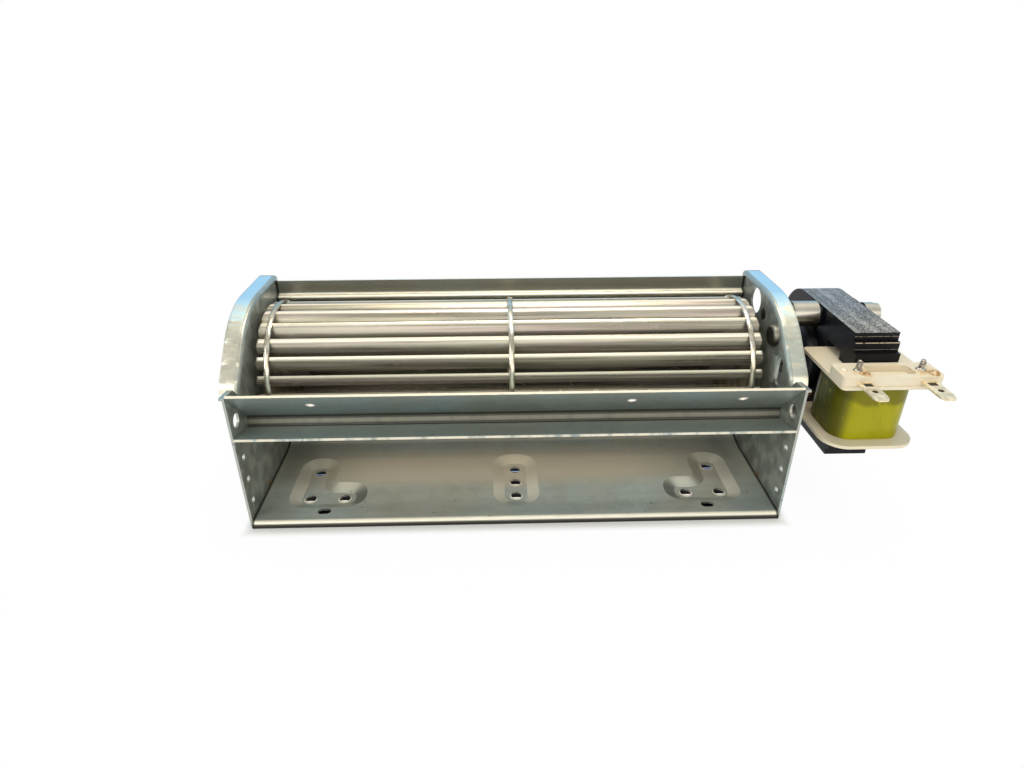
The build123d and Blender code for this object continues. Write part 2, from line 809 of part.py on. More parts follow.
# Coil: a moulded bobbin round the core, the winding and its tape
def coil_box(level, height, half_x, half_y, corner, mode=Mode.ADD, shift=0.0):
    """An upright rounded block round the core, from level upwards, counted from the shaft."""
    with BuildSketch(Plane.XY.offset(shaft_height + level)) as block:
        with Locations((stack_middle + shift, shaft_setback + bobbin_y)):
            RectangleRounded(2 * half_x, 2 * half_y, corner)
    extrude(block.sketch, amount=height, mode=mode)


def core_box(level, height, play, mode=Mode.SUBTRACT):
    """The room of the core, widened by play."""
    with BuildSketch(Plane.XY.offset(shaft_height + level)) as block:
        with Locations((stack_middle, shaft_setback - core_front + core_depth / 2)):
            Rectangle(stack_length + 2 * play, core_depth + 2 * play)
    extrude(block.sketch, amount=height, mode=mode)


bobbin_height = bobbin_top - bobbin_low
top_flange = bobbin_top - bobbin_flange
block_x = stack_middle + block_shift
terminal_middle = stack_middle + terminal_shift
terminal_x = (terminal_middle - terminal_half_pitch, terminal_middle + terminal_half_pitch)
with BuildPart() as coil_bobbin:
    core_box(bobbin_low, bobbin_height, core_play + bobbin_wall, Mode.ADD)
    coil_box(bobbin_low, bobbin_flange, bobbin_half_width, bobbin_half_depth, bobbin_corner)
    coil_box(
        top_flange, bobbin_flange, block_half_width, bobbin_half_depth, block_corner, shift=block_shift
    )
    with BuildSketch(Plane.XY.offset(shaft_height + top_flange)):
        with Locations((block_x, shaft_setback - (block_front + block_rear) / 2)):
            RectangleRounded(2 * block_half_width, block_front - block_rear, block_corner)
    extrude(amount=block_top - top_flange)
    with BuildSketch(Plane.XY.offset(shaft_height + block_top)):
        with Locations((terminal_middle, shaft_setback - (block_front + block_rear) / 2)):
            RectangleRounded(block_recess_width, block_recess_depth, block_corner / 2)
    extrude(amount=-block_recess_drop, mode=Mode.SUBTRACT)
    for x in terminal_x:
        with BuildSketch(Plane.XY.offset(shaft_height + terminal_z)):
            with Locations((x, shaft_setback - block_front + terminal_root / 2)):
                Rectangle(terminal_width, terminal_root)
        extrude(amount=-terminal_gauge, mode=Mode.SUBTRACT)
        with BuildSketch(Plane.XY.offset(shaft_height + terminal_z)):
            with Locations((x, shaft_setback - block_front + post_back)):
                Circle(post_radius)
        extrude(amount=block_top - terminal_z, mode=Mode.SUBTRACT)
    core_box(bobbin_low, bobbin_height + block_top, core_play)
hand_over(coil_bobbin.part, "coil_bobbin")

winding_low = bobbin_low + bobbin_flange
winding_height = bobbin_height - 2 * bobbin_flange
with BuildPart() as coil_winding:
    coil_box(
        winding_low,
        winding_height,
        coil_half_width - tape_gauge,
        coil_half_depth - tape_gauge,
        coil_corner - tape_gauge,
    )
    core_box(winding_low, winding_height, core_play + bobbin_wall)
hand_over(coil_winding.part, "coil_winding")

with BuildPart() as coil_tape:
    coil_box(winding_low, winding_height, coil_half_width, coil_half_depth, coil_corner)
    coil_box(
        winding_low,
        winding_height,
        coil_half_width - tape_gauge,
        coil_half_depth - tape_gauge,
        coil_corner - tape_gauge,
        Mode.SUBTRACT,
    )
hand_over(coil_tape.part, "coil_tape")

tip = shaft_setback - block_front - terminal_reach
root = shaft_setback - block_front + terminal_root
for name, x in zip(("left_terminal", "right_terminal"), terminal_x):
    with BuildPart() as terminal:
        with BuildSketch(Plane.XY.offset(shaft_height + terminal_z)):
            with Locations((x, (tip + root) / 2)):
                Rectangle(terminal_width, root - tip)
            with Locations((x, tip + terminal_hole_back)):
                Circle(terminal_hole_radius, mode=Mode.SUBTRACT)
        extrude(amount=-terminal_gauge)
        corners = terminal.edges().filter_by(Axis.Z).group_by(Axis.Y)[0]
        chamfer(corners, terminal_tip_chamfer)
        with BuildSketch(Plane.XY.offset(shaft_height + terminal_z)):
            with Locations((x, shaft_setback - block_front + post_back)):
                Circle(post_radius)
        extrude(amount=post_height)
    hand_over(terminal.part, name)
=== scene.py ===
import bmesh
import bpy
import numpy as np
from mathutils import Matrix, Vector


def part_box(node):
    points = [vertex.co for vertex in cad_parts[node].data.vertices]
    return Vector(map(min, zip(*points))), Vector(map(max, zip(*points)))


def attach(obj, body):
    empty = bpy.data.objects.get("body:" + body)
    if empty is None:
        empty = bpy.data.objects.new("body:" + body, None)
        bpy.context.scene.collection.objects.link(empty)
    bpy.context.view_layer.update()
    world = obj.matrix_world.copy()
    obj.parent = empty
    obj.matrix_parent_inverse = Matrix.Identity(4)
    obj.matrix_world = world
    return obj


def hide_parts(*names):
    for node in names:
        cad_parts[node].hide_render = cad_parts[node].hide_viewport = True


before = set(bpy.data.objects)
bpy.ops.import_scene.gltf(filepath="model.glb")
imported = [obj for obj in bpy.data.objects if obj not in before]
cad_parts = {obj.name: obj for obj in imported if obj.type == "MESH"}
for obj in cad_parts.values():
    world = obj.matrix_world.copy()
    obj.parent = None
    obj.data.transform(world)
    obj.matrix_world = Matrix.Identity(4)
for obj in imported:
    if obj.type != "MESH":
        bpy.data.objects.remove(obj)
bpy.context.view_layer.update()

# Camera
# It stands where the photograph was taken from: in front of the outlet and a
# little left of the middle, looking down on the housing and the motor.
camera_place = np.array([-0.008185, -0.249815, 0.184721])
camera_pitch, camera_yaw, camera_roll = 0.48692, 0.02652, 0.00217
camera_lens, camera_sensor = 23.28, 36.0

ahead = np.array([
    np.sin(camera_yaw) * np.cos(camera_pitch),
    np.cos(camera_yaw) * np.cos(camera_pitch),
    -np.sin(camera_pitch),
])
level = np.array([np.cos(camera_yaw), -np.sin(camera_yaw), 0.0])
down = np.cross(ahead, level)
right = level * np.cos(camera_roll) + down * np.sin(camera_roll)
down = down * np.cos(camera_roll) - level * np.sin(camera_roll)
camera = bpy.data.objects.new("camera", bpy.data.cameras.new("camera"))
camera.data.lens = camera_lens
camera.data.sensor_width = camera_sensor
camera.data.clip_start, camera.data.clip_end = 0.01, 50
pose = np.eye(4)
pose[:3, :3] = np.column_stack([right, -down, -ahead])
pose[:3, 3] = camera_place
camera.matrix_world = Matrix(pose.tolist())
bpy.context.scene.collection.objects.link(camera)
bpy.context.scene.camera = camera
bpy.context.scene.view_settings.view_transform = "Standard"


# Materials are written as sums and products of sockets
# A Tap wraps one output socket, and a Paint is one node tree with its one
# method that makes nodes.
class Tap:
    """An output socket: arithmetic on it adds Math nodes to its tree."""

    def __init__(self, paint, socket):
        self.paint, self.socket = paint, socket

    def join(self, operation, *values):
        return self.paint.node("ShaderNodeMath", {"operation": operation}, *values)

    def __add__(self, other):
        return self.join("ADD", self, other)

    def __sub__(self, other):
        return self.join("SUBTRACT", self, other)

    def __rsub__(self, other):
        return self.join("SUBTRACT", other, self)

    def __mul__(self, other):
        return self.join("MULTIPLY", self, other)

    def __truediv__(self, other):
        return self.join("DIVIDE", self, other)

    def __gt__(self, other):
        return self.join("GREATER_THAN", self, other)

    def __or__(self, other):
        return self.join("MAXIMUM", self, other)

    def __abs__(self):
        return self.join("ABSOLUTE", self)

    __radd__ = __add__
    __rmul__ = __mul__

    def step(self, low, high):
        """0 below low, 1 above high, and a smooth rise between."""
        return self.paint.node(
            "ShaderNodeMapRange", {"interpolation_type": "SMOOTHSTEP"}, self, low, high, 0.0, 1.0
        )


class Paint:
    """A node tree of its own, and the method that makes its nodes."""

    def __init__(self, name, tree=None):
        self.material = None
        if tree is None:
            self.material = bpy.data.materials.new(name)
            self.material.use_nodes = True
            tree = self.material.node_tree
        self.tree = tree
        self.tree.nodes.clear()

    def node(self, kind, settings=None, *values, out=0, **named):
        made = self.tree.nodes.new(kind)
        for key, value in (settings or {}).items():
            setattr(made, key, value)
        for place, value in [*enumerate(values), *named.items()]:
            socket = made.inputs[place if isinstance(place, int) else place.replace("_", " ")]
            if isinstance(value, Tap):
                self.tree.links.new(value.socket, socket)
            else:
                socket.default_value = value
        return Tap(self, made.outputs[out]) if made.outputs else made

    def spot(self):
        """Object coordinates in metres."""
        return self.node("ShaderNodeTexCoord", out=3)

    def place(self, stretch=(1.0, 1.0, 1.0), start=(0.0, 0.0, 0.0)):
        """Object coordinates stretched by three factors."""
        return self.node("ShaderNodeMapping", None, self.spot(), start, (0.0, 0.0, 0.0), stretch)

    def along(self, axis):
        """One Object coordinate, 0 for X, 1 for Y, 2 for Z, in metres."""
        return self.node("ShaderNodeSeparateXYZ", None, self.spot(), out=axis)

    def away(self, centre, stretch=(1.0, 1.0, 1.0)):
        """Distance in metres from a point, with the axes stretched first."""
        centre = tuple(c * s for c, s in zip(centre, stretch))
        return self.node(
            "ShaderNodeVectorMath", {"operation": "DISTANCE"}, self.place(stretch), centre, out=1
        )

    def facing(self, direction):
        """How far a face looks along a fixed direction of the world, from -1 to 1."""
        normal = self.node("ShaderNodeNewGeometry", out=1)
        return self.node(
            "ShaderNodeVectorMath", {"operation": "DOT_PRODUCT"}, normal, direction, out=1
        )

    def noise(self, scale, detail=3.0, stretch=(1.0, 1.0, 1.0), start=(0.0, 0.0, 0.0)):
        return self.node(
            "ShaderNodeTexNoise", None, Vector=self.place(stretch, start), Scale=scale, Detail=detail
        )

    def mix(self, factor, a, b, blend="MIX"):
        """Colour a turning into colour b by factor."""
        mixed = self.tree.nodes.new("ShaderNodeMix")
        mixed.data_type, mixed.blend_type = "RGBA", blend
        for socket, value in ((0, factor), (6, a), (7, b)):
            if isinstance(value, Tap):
                self.tree.links.new(value.socket, mixed.inputs[socket])
            else:
                mixed.inputs[socket].default_value = (*value, 1.0) if isinstance(value, tuple) else value
        return Tap(self, mixed.outputs[2])

    def bump(self, height, depth, strength=1.0):
        return self.node("ShaderNodeBump", None, Strength=strength, Distance=depth, Height=height)

    def finish(self, **sockets):
        """The surface shader, with its sockets by name, and the output."""
        shader = self.node("ShaderNodeBsdfPrincipled", None, **sockets)
        self.node("ShaderNodeOutputMaterial", None, shader)
        return self.material


def dress(material, *nodes):
    """The CAD nodes get this material in their own slots."""
    for node in nodes:
        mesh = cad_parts[node].data
        mesh.materials.clear()
        mesh.materials.append(material)


# Housing sheets
# Hot dip galvanised steel, folded and pressed: a faint spangle, rolling streaks
# along the length, dull rubbed patches and sheared edges with a painted cream
# highlight. The scroll's locking tabs hold it in slots of the two end plates.
edge_highlight_cream, crown_slope = (0.86, 0.79, 0.64), (0, -0.72, 0.69)
spangle_scale, streak_scale, cloud_scale, grain_scale, dirt_scale = 210.0, 360.0, 26.0, 2600.0, 430.0
streak_stretch, zinc_depth = 0.04, 0.00012


def zinc(paint, grey, roughness, streak_axis=0):
    """Spangle cells, drawn out streaks and clouds, returned as colour, roughness and height."""
    along = [1.0, 1.0, 1.0]
    along[streak_axis] = streak_stretch
    cells = paint.node("ShaderNodeTexVoronoi", None, Vector=paint.place(), Scale=spangle_scale, out=1)
    flake = paint.node("ShaderNodeSeparateColor", None, cells)
    streak = paint.noise(streak_scale, 4.0, tuple(along))
    cloud = paint.noise(cloud_scale, 4.0)
    grain = paint.noise(grain_scale, 2.0)
    shade = 0.10 + flake * 0.10 + streak * 0.24 + cloud * 0.32
    base = paint.mix(shade, tuple(0.45 * c for c in grey), tuple(1.5 * c for c in grey))
    warm = paint.mix(cloud.step(0.40, 0.64), (1.0, 0.99, 0.94), (0.90, 0.99, 1.02))
    base = paint.mix(1.0, base, warm, "MULTIPLY")
    dirt = paint.noise(dirt_scale, 1.0, start=(3.1, 1.7, 0.4)).step(0.75, 0.80)
    base = paint.mix(dirt * 0.6, base, (0.08, 0.07, 0.055))
    rough = roughness + cloud * 0.14 + grain * 0.08 - flake * 0.05
    return base, rough, grain * 0.3 + streak * 0.4 + flake * 0.1


# The end plates: darker and duller on the inner faces, the darker colour being painted shade
# inside the housing; light scuffs on the front of the rims, partly wear and partly a painted
# highlight; and each with a small spot of rust where it meets the floor sheet
rust_x, rust_y, rust_z, rust_edge, rust_core = 0.1118, -0.0015, 0.0040, 0.0024, 0.0008


def end_plate(name, grey, hand):
    """The zinc of one end plate; hand is -1 for the left one and 1 for the right one."""
    paint = Paint(name)
    base, rough, height = zinc(paint, grey, 0.30, 2)
    inside = paint.facing((-hand, 0, 0)).step(0.8, 0.98)
    blotch = paint.noise(150.0, 5.0, start=(0.0, 2.0, 1.0))
    # painted shade: the inner face of the plate, found by its facing, turns a darker blotchy grey
    dull = paint.mix(blotch.step(0.38, 0.62), (0.18, 0.20, 0.18), (0.44, 0.47, 0.42))
    base = paint.mix(inside * 0.65, base, dull)
    # light patches on the faces turned front and up: partly wear, partly a painted cream highlight
    scuff_and_highlight = paint.noise(300.0, 4.0, (0.25, 1.0, 1.0), (0.4, 0.0, 0.2)).step(0.54, 0.70)
    front = paint.facing(crown_slope).step(0.75, 0.98)
    base = paint.mix(scuff_and_highlight * front * 0.75, base, (0.86, 0.80, 0.66))
    rust = paint.away((hand * rust_x, rust_y, rust_z)).step(rust_edge, rust_core)
    base = paint.mix(rust * paint.noise(900.0).step(0.30, 0.55), base, (0.40, 0.20, 0.05))
    return paint.finish(
        Base_Color=base, Metallic=0.95 - 0.45 * inside, Roughness=rough + scuff_and_highlight * 0.1,
        Normal=paint.bump(height, zinc_depth),
    )


dress(end_plate("left_plate_zinc", (0.54, 0.55, 0.50), -1), "left_end_plate")
dress(end_plate("right_plate_zinc", (0.50, 0.52, 0.48), 1), "right_end_plate")

# The scroll's sheet, with light and shade painted into its colour: painted highlights on the
# front lip and the ledge, painted shade on the lip above the ledge and on the front face of the
# front lip, a painted lit side and a painted shaded side on each foot, painted glints round the
# holes, a painted sheen across the floor of the outlet, a painted highlight along the back bend,
# and painted shade behind the bend and towards both ends. Each pair of limits says where an
# effect starts and where it is full, in metres
ledge_z, foot_z, lip_y = (0.070, 0.072), (0.0033, 0.0031), (-0.0262, -0.0275)
hole_rim, hole_rim_drop = 0.0030, 0.0007
foot_hole_x, toe_hole_x, hole_step = 0.09175, 0.0766, 0.0098
foot_holes = [(foot_hole_x, hole_step), (foot_hole_x, -hole_step), (toe_hole_x, -hole_step)]
middle_holes = [(0, hole_step), (0, 0), (0, -hole_step)]
sheen_front, sheen_back, sheen_sides, sheen_shift = (-0.008, 0.006), (0.030, 0.014), (0.105, 0.055), 0.01
bend_y, bend_width, shade_behind_bend = 0.0320, (0.0030, 0.0008), (0.0335, 0.0365)
shadow_sides, inside_low = (0.085, 0.108), (0.024, 0.010)
seam_inner, seam_outer = (0.1107, 0.1112), (0.1120, 0.1121)
paint = Paint("scroll_zinc")
base, rough, height = zinc(paint, (0.55, 0.57, 0.52), 0.30)
up, front = paint.facing((0, 0, 1)), paint.facing((0, -1, 0))
side, back = abs(paint.along(0)), paint.along(1)
ledge, lip = paint.along(2).step(*ledge_z), back.step(*lip_y)
below_ledge = 1.0 - ledge
# painted light and shade on the lip and ledge: shade on the front of the lip above the ledge, highlights on
# the top of the ledge and of the front lip, shade on the front face of the front lip
base = paint.mix(ledge * front.step(0.85, 0.99) * 0.8, base, (0.20, 0.195, 0.155))
base = paint.mix(ledge * up.step(0.3, 0.8), base, (1.0, 0.93, 0.76))
base = paint.mix(lip * below_ledge * up.step(0.2, 0.7), base, (0.95, 0.90, 0.74))
base = paint.mix(lip * below_ledge * front.step(0.75, 0.98), base, (0.045, 0.042, 0.035))
pressed = paint.along(2).step(*foot_z) * (1.0 - lip)
# painted light and shade on the feet: slopes turned toward the middle are lit cream, slopes turned toward
# the ends are shaded dark
lean = paint.facing((1, 0, 0)) * (1.0 - 2.0 * (paint.along(0) > 0.0))
base = paint.mix(pressed * lean.step(0.10, 0.32) * 0.8, base, (0.92, 0.88, 0.76))
base = paint.mix(pressed * lean.step(-0.10, -0.32) * 0.75, base, (0.12, 0.13, 0.115))
# painted glints: light crescent rims round the holes in the feet and the floor
for hole_x, hole_y in foot_holes + middle_holes:
    off_x, off_y = side - hole_x, back - (hole_y - hole_rim_drop)
    rim = (off_x * off_x + off_y * off_y).step(hole_rim**2, (0.92 * hole_rim) ** 2)
    base = paint.mix(pressed * rim, base, (1.0, 0.97, 0.88))
sheen = back.step(*sheen_front) * back.step(*sheen_back) * below_ledge
middle = abs(paint.along(0) + sheen_shift).step(*sheen_sides)
base = paint.mix(sheen * (0.35 + 0.60 * middle), base, (1.0, 0.90, 0.70))
# painted highlight: a light line along the back bend of the floor
bend = abs(back - bend_y).step(*bend_width)
base = paint.mix(bend * below_ledge * 0.7, base, (0.86, 0.86, 0.76))
# painted shade: the floor behind the bend is darker
base = paint.mix(back.step(*shade_behind_bend) * below_ledge * 0.45, base, (0.22, 0.22, 0.19))
shadow = side.step(*shadow_sides) * below_ledge * (1.0 - lip)
base = paint.mix(shadow * 0.45, base, (0.16, 0.18, 0.165))
inner_floor = paint.along(2).step(*inside_low) * up.step(-0.10, 0.30)
seam = side.step(*seam_inner) * (1.0 - side.step(*seam_outer))
base = paint.mix(seam * 0.9, base, (0.02, 0.02, 0.018))
scroll_zinc = paint.finish(
    Base_Color=base, Metallic=0.85 - 0.55 * inner_floor, Roughness=rough,
    Normal=paint.bump(height, zinc_depth),
)
dress(scroll_zinc, "scroll_sheet")

# The front channel: cool dull faces with a painted lighter tone on the shelf that faces up, a
# warm nose band of painted shade between two painted shade lines, a painted cream highlight on
# the two sheared edges and painted glints round the three holes
nose_y, nose_z, nose_shade_lines = (-0.0120, -0.0109), 0.0418, (0.0005, 0.0014)
channel_hole_x, channel_hole_place = (-0.0820, 0.0460, 0.0910), (-0.0200, 0.0548)
channel_hole_rim, cut_match = (0.0021, 0.0018), 0.93
paint = Paint("channel_zinc")
base, rough, height = zinc(paint, (0.35, 0.40, 0.385), 0.40)
nick = paint.noise(240.0, 4.0, (1.0, 0.1, 0.1))
# painted highlight: the faces of the two sheared edges, found by their facing, are cream
upper_cut = paint.facing((0, -0.683, 0.731)) > cut_match
lower_cut = paint.facing((0, -0.974, 0.226)) > cut_match
base = paint.mix(upper_cut, base, edge_highlight_cream)
base = paint.mix(lower_cut * nick.step(0.30, 0.55) * 0.75, base, edge_highlight_cream)
# painted light: the shelf that faces up is lighter
lit_shelf = paint.facing((0, 0.226, 0.974)).step(0.85, 0.98)
base = paint.mix(lit_shelf * 0.45, base, (0.62, 0.69, 0.65))
# painted shade: the nose band is a warm darker tone, with two dark shade lines along its bends
nose, off_nose = paint.along(1).step(*nose_y), abs(paint.along(2) - nose_z)
base = paint.mix(nose * 0.85, base, (0.36, 0.33, 0.27))
base = paint.mix(nose * off_nose.step(*nose_shade_lines) * 0.85, base, (0.06, 0.065, 0.055))
# painted glints: light rims round the three holes
for hole_x in channel_hole_x:
    gleam = paint.away((hole_x, *channel_hole_place)).step(*channel_hole_rim)
    base = paint.mix(gleam, base, (1.0, 0.95, 0.88))
scrape = paint.noise(330.0, 5.0, (0.5, 1.0, 1.0), (0.9, 0.1, 0.6)).step(0.62, 0.70)
base = paint.mix(scrape * (1.0 - nose) * 0.35, base, (0.20, 0.23, 0.22))
channel_zinc = paint.finish(
    Base_Color=base, Metallic=0.65, Roughness=rough, Normal=paint.bump(height, zinc_depth)
)
dress(channel_zinc, "front_channel")


def grid_piece(name, points, material, body, loop=(False, False), caps=False, crease=0.7):
    """Points in rows and columns become quads; loop joins last to first, caps close the end rows."""
    rows, columns = points.shape[:2]
    number = np.arange(rows * columns).reshape(rows, columns)
    if loop[0]:
        number = np.vstack([number, number[:1]])
    if loop[1]:
        number = np.hstack([number, number[:, :1]])
    corners = [number[:-1, :-1], number[1:, :-1], number[1:, 1:], number[:-1, 1:]]
    faces = np.stack(corners, axis=-1).reshape(-1, 4).tolist()
    if caps:
        faces += [number[0, :columns].tolist(), number[-1, :columns].tolist()]
    mesh = bpy.data.meshes.new(name)
    mesh.from_pydata(points.reshape(-1, 3).tolist(), [], faces)
    shape = bmesh.new()
    shape.from_mesh(mesh)
    bmesh.ops.remove_doubles(shape, verts=shape.verts, dist=1e-7)
    bmesh.ops.recalc_face_normals(shape, faces=shape.faces)
    shape.to_mesh(mesh)
    shape.free()
    mesh.shade_smooth()
    mesh.set_sharp_from_angle(angle=crease)
    mesh.materials.append(material)
    piece = bpy.data.objects.new(name, mesh)
    bpy.context.scene.collection.objects.link(piece)
    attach(piece, body)
    return piece


def bent_path(corners, radii, spacing):
    """Straight runs joined by arcs: an arc starts before its corner by its radius times the tangent
    of half the turn.

    Returns the points, and at each the unit vector to the right of the run."""
    corners = [np.array(corner) for corner in corners]
    stretches, last = [], corners[0]
    for before, corner, after, radius in zip(corners, corners[1:], corners[2:], radii):
        into = (corner - before) / np.linalg.norm(corner - before)
        out = (after - corner) / np.linalg.norm(after - corner)
        turn = np.arctan2(into[0] * out[1] - into[1] * out[0], into @ out)
        reach = radius * np.tan(abs(turn) / 2)
        start = corner - into * reach
        steps = max(int(np.linalg.norm(start - last) / spacing), 2)
        stretches.append(last + (start - last) * np.linspace(0, 1, steps, endpoint=False)[:, None])
        centre = start + np.sign(turn) * radius * np.array([-into[1], into[0]])
        swing = np.linspace(0, turn, max(int(radius * abs(turn) / spacing), 6), endpoint=False)
        arm = start - centre
        arc = np.cos(swing)[:, None] * arm + np.sin(swing)[:, None] * np.array([-arm[1], arm[0]])
        stretches.append(centre + arc)
        last = corner + out * reach
    steps = max(int(np.linalg.norm(corners[-1] - last) / spacing), 2)
    stretches.append(last + (corners[-1] - last) * np.linspace(0, 1, steps)[:, None])
    points = np.vstack(stretches)
    run = np.gradient(points, axis=0)
    run = run / np.linalg.norm(run, axis=1)[:, None]
    return points, np.column_stack([run[:, 1], -run[:, 0]])


# Crown rims
# The wide rims were turned out over the crowns in one stroke, so their sheet has
# puckered where the curve is tight: short ridges with shallow bulges between.
# Each is a thin skin of zinc coated steel, bedded in the rim of its plate.
low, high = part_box("motor_shaft")
shaft_y, shaft_z = (low.y + high.y) / 2, (low.z + high.z) / 2
crown_corners = [(0.0272, 0.0345), (-0.0152, 0.0345), (-0.0412, 0.0099), (-0.0412, 0.0072)]
crown_radii, crown_spacing = [0.040, 0.0075], 0.00035
rim_thickness, rim_inner_x, rim_outer_x = 0.0007, 0.1137, 0.11995
ridge_width, tight_reach, border_width, rim_rise, rim_bed = 0.00075, 0.016, 0.0015, 0.00006, 0.00003
rim_paint = Paint("rim_zinc")
base, rough, height = zinc(rim_paint, (0.74, 0.72, 0.62), 0.24, 2)
# painted reflection: faces turned up take a pale blue sky colour
base = rim_paint.mix(rim_paint.facing((0, -0.1, 1)).step(0.90, 0.97), base, (0.66, 0.90, 1.0))
# painted reflection: faces turned to the front, low on the crown, are cream
lower_reflection = rim_paint.facing((0, -1.0, 0.1)).step(0.80, 0.97)
base = rim_paint.mix(lower_reflection * 0.7, base, (0.98, 0.90, 0.74))
# cream patches on the faces turned front and up: partly wear, partly a painted highlight
wear_and_highlight = rim_paint.noise(260.0, 4.0, (0.4, 1.0, 1.0), (0.4, 0.0, 0.2)).step(0.50, 0.68)
wear_and_highlight = wear_and_highlight * rim_paint.facing(crown_slope).step(0.7, 0.95)
base = rim_paint.mix(wear_and_highlight * 0.8, base, (0.90, 0.84, 0.68))
rim_zinc = rim_paint.finish(
    Base_Color=base, Metallic=0.95, Roughness=rough, Normal=rim_paint.bump(height, zinc_depth)
)


def puckered_rim(name, hand, ridges, depth):
    """Height above the rim: v squared times a bell at each ridge, plus a sine bulge between ridges.

    u runs along the crown and v from the bend to the free edge; the borders dip into the sheet."""
    path, out = bent_path(crown_corners, crown_radii, crown_spacing)
    u = np.concatenate([[0.0], np.cumsum(np.linalg.norm(np.diff(path, axis=0), axis=1))])[:, None]
    v = np.linspace(0.0, 1.0, 17)[None, :]
    bell = sum(np.exp(-(((u - ridge) / ridge_width) ** 2)) for ridge in ridges)
    bulge = np.sin(np.pi * (u - ridges[0]) / (ridges[1] - ridges[0])) ** 2
    tight = np.exp(-(((u - np.mean(ridges)) / tight_reach) ** 2))
    ends = np.minimum(np.minimum(u, u[-1] - u) / border_width, 1.0)
    sides = np.minimum(np.minimum(v, 1.0 - v) * 9.0 + 0.15, 1.0)
    lift = ends * sides * (depth * (v**2 * bell + 0.55 * v * bulge * tight) + rim_rise) - rim_bed
    x = hand * (rim_inner_x + (rim_outer_x - rim_inner_x) * v) + 0 * u
    skin = []
    for offset in (lift, np.full_like(lift, -rim_thickness)):
        y = path[:, :1] + out[:, :1] * offset + shaft_y
        z = path[:, 1:] + out[:, 1:] * offset + shaft_z
        skin.append(np.stack([x, y, z], axis=-1))
    shell = np.concatenate([skin[0], skin[1][:, ::-1]], axis=1)
    grid_piece(name, shell, rim_zinc, "housing", (False, True), True)


puckered_rim("left_rim_puckers", -1, (0.0460, 0.0555, 0.0650), 0.00042)
puckered_rim("right_rim_puckers", 1, (0.0520, 0.0600, 0.0680), 0.00022)

# Impeller
# Thin bright sheet blades, crimped into two end discs and one middle ring. The
# rolled metal shows long streaks along the blades, some warm and some pink, and
# a short dark mark low near each end. A painted cream highlight runs along the
# outer edge of every blade.
blade_streak, tip_highlight_radii = 0.02, (0.02900, 0.02925)
mark_places, mark_half_x = (-0.0896, 0.0871), (0.0004, 0.0002)
mark_z, mark_half_z = 0.0500, (0.0024, 0.0020)
paint = Paint("blade_sheet")
fine = paint.noise(620.0, 5.0, (blade_streak, 1.0, 1.0))
wide = paint.noise(190.0, 3.0, (blade_streak * 2, 1.0, 1.0), (0.7, 0.2, 0.9))
patch = paint.noise(95.0, 2.0, (0.08, 1.0, 1.0), (2.0, 0.0, 1.0))
base = paint.mix(0.15 + 0.85 * fine.step(0.36, 0.62), (0.20, 0.175, 0.135), (0.56, 0.53, 0.43))
base = paint.mix(wide.step(0.48, 0.62) * patch.step(0.35, 0.6) * 0.8, base, (0.50, 0.40, 0.37))
base = paint.mix(wide.step(0.52, 0.38) * (1.0 - patch), base, (0.53, 0.48, 0.33))
green = paint.noise(60.0, 2.0, (0.3, 1.0, 1.0), (5.0, 1.0, 0.0)).step(0.62, 0.72)
base = paint.mix(green * 0.35, base, (0.32, 0.38, 0.27))
smear = paint.noise(240.0, 4.0, (0.5, 1.0, 1.0), (1.0, 4.0, 0.0)).step(0.60, 0.72)
base = paint.mix(smear * 0.3, base, (0.60, 0.56, 0.50))
for mark_x in mark_places:
    mark = abs(paint.along(0) - mark_x).step(*mark_half_x)
    mark = mark * abs(paint.along(2) - mark_z).step(*mark_half_z)
    base = paint.mix(mark, base, (0.03, 0.027, 0.02))
base = paint.mix(patch.step(0.34, 0.54) * -0.45 + 0.45, base, (0.18, 0.17, 0.14))
# painted highlight: the outer edge of each blade is cream
radius = paint.away((0.0, shaft_y, shaft_z), (0.0, 1.0, 1.0))
base = paint.mix(radius.step(*tip_highlight_radii) * 0.85, base, (1.0, 0.93, 0.76))
rough = 0.17 + fine * 0.16 + patch * 0.08 + smear * 0.1
blade_metal = paint.finish(
    Base_Color=base, Metallic=0.62, Roughness=rough, Normal=paint.bump(fine, 0.00006)
)
dress(blade_metal, "impeller_blades")

# The discs and the ring: plainer and brighter than the blades
paint = Paint("ring_sheet")
cloud = paint.noise(150.0, 3.0)
base = paint.mix(cloud.step(0.40, 0.62), (0.62, 0.56, 0.44), (0.92, 0.87, 0.76))
ring_metal = paint.finish(Base_Color=base, Metallic=1.0, Roughness=0.16 + cloud * 0.12)
dress(ring_metal, "left_end_disc", "right_end_disc", "middle_ring")

# Rolled rims of the discs
# Each disc's edge is rolled over the blades into a round bead of the same sheet,
# which the rolling has left a little wider over every blade.
bead_half_width, bead_half_height, bead_inset, bead_count = 0.00112, 0.00055, 0.0002, 23
blade_sway, disc_sway = 0.00010, 0.00012


def rolled_bead(name, disc):
    """A ring about the shaft with an oval section, whose width swells with the cosine of each blade."""
    low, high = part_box(disc)
    radius = (high.z - low.z) / 2 - bead_inset
    turn = np.linspace(0, 2 * np.pi, bead_count * 10, endpoint=False)[:, None]
    roll = np.linspace(0, 2 * np.pi, 16, endpoint=False)[None, :]
    swell = 1.0 + 0.10 * np.cos(bead_count * turn) + 0.03 * np.cos(5 * turn)
    sway = blade_sway * np.sin(bead_count * turn) + disc_sway * np.sin(3 * turn)
    x = (low.x + high.x) / 2 + sway + bead_half_width * swell * np.cos(roll)
    r = radius + bead_half_height * (0.9 + 0.1 * swell) * np.sin(roll)
    points = np.stack([x, shaft_y + r * np.cos(turn), shaft_z + r * np.sin(turn)], axis=-1)
    grid_piece(name, points, ring_metal, "impeller", (True, True))


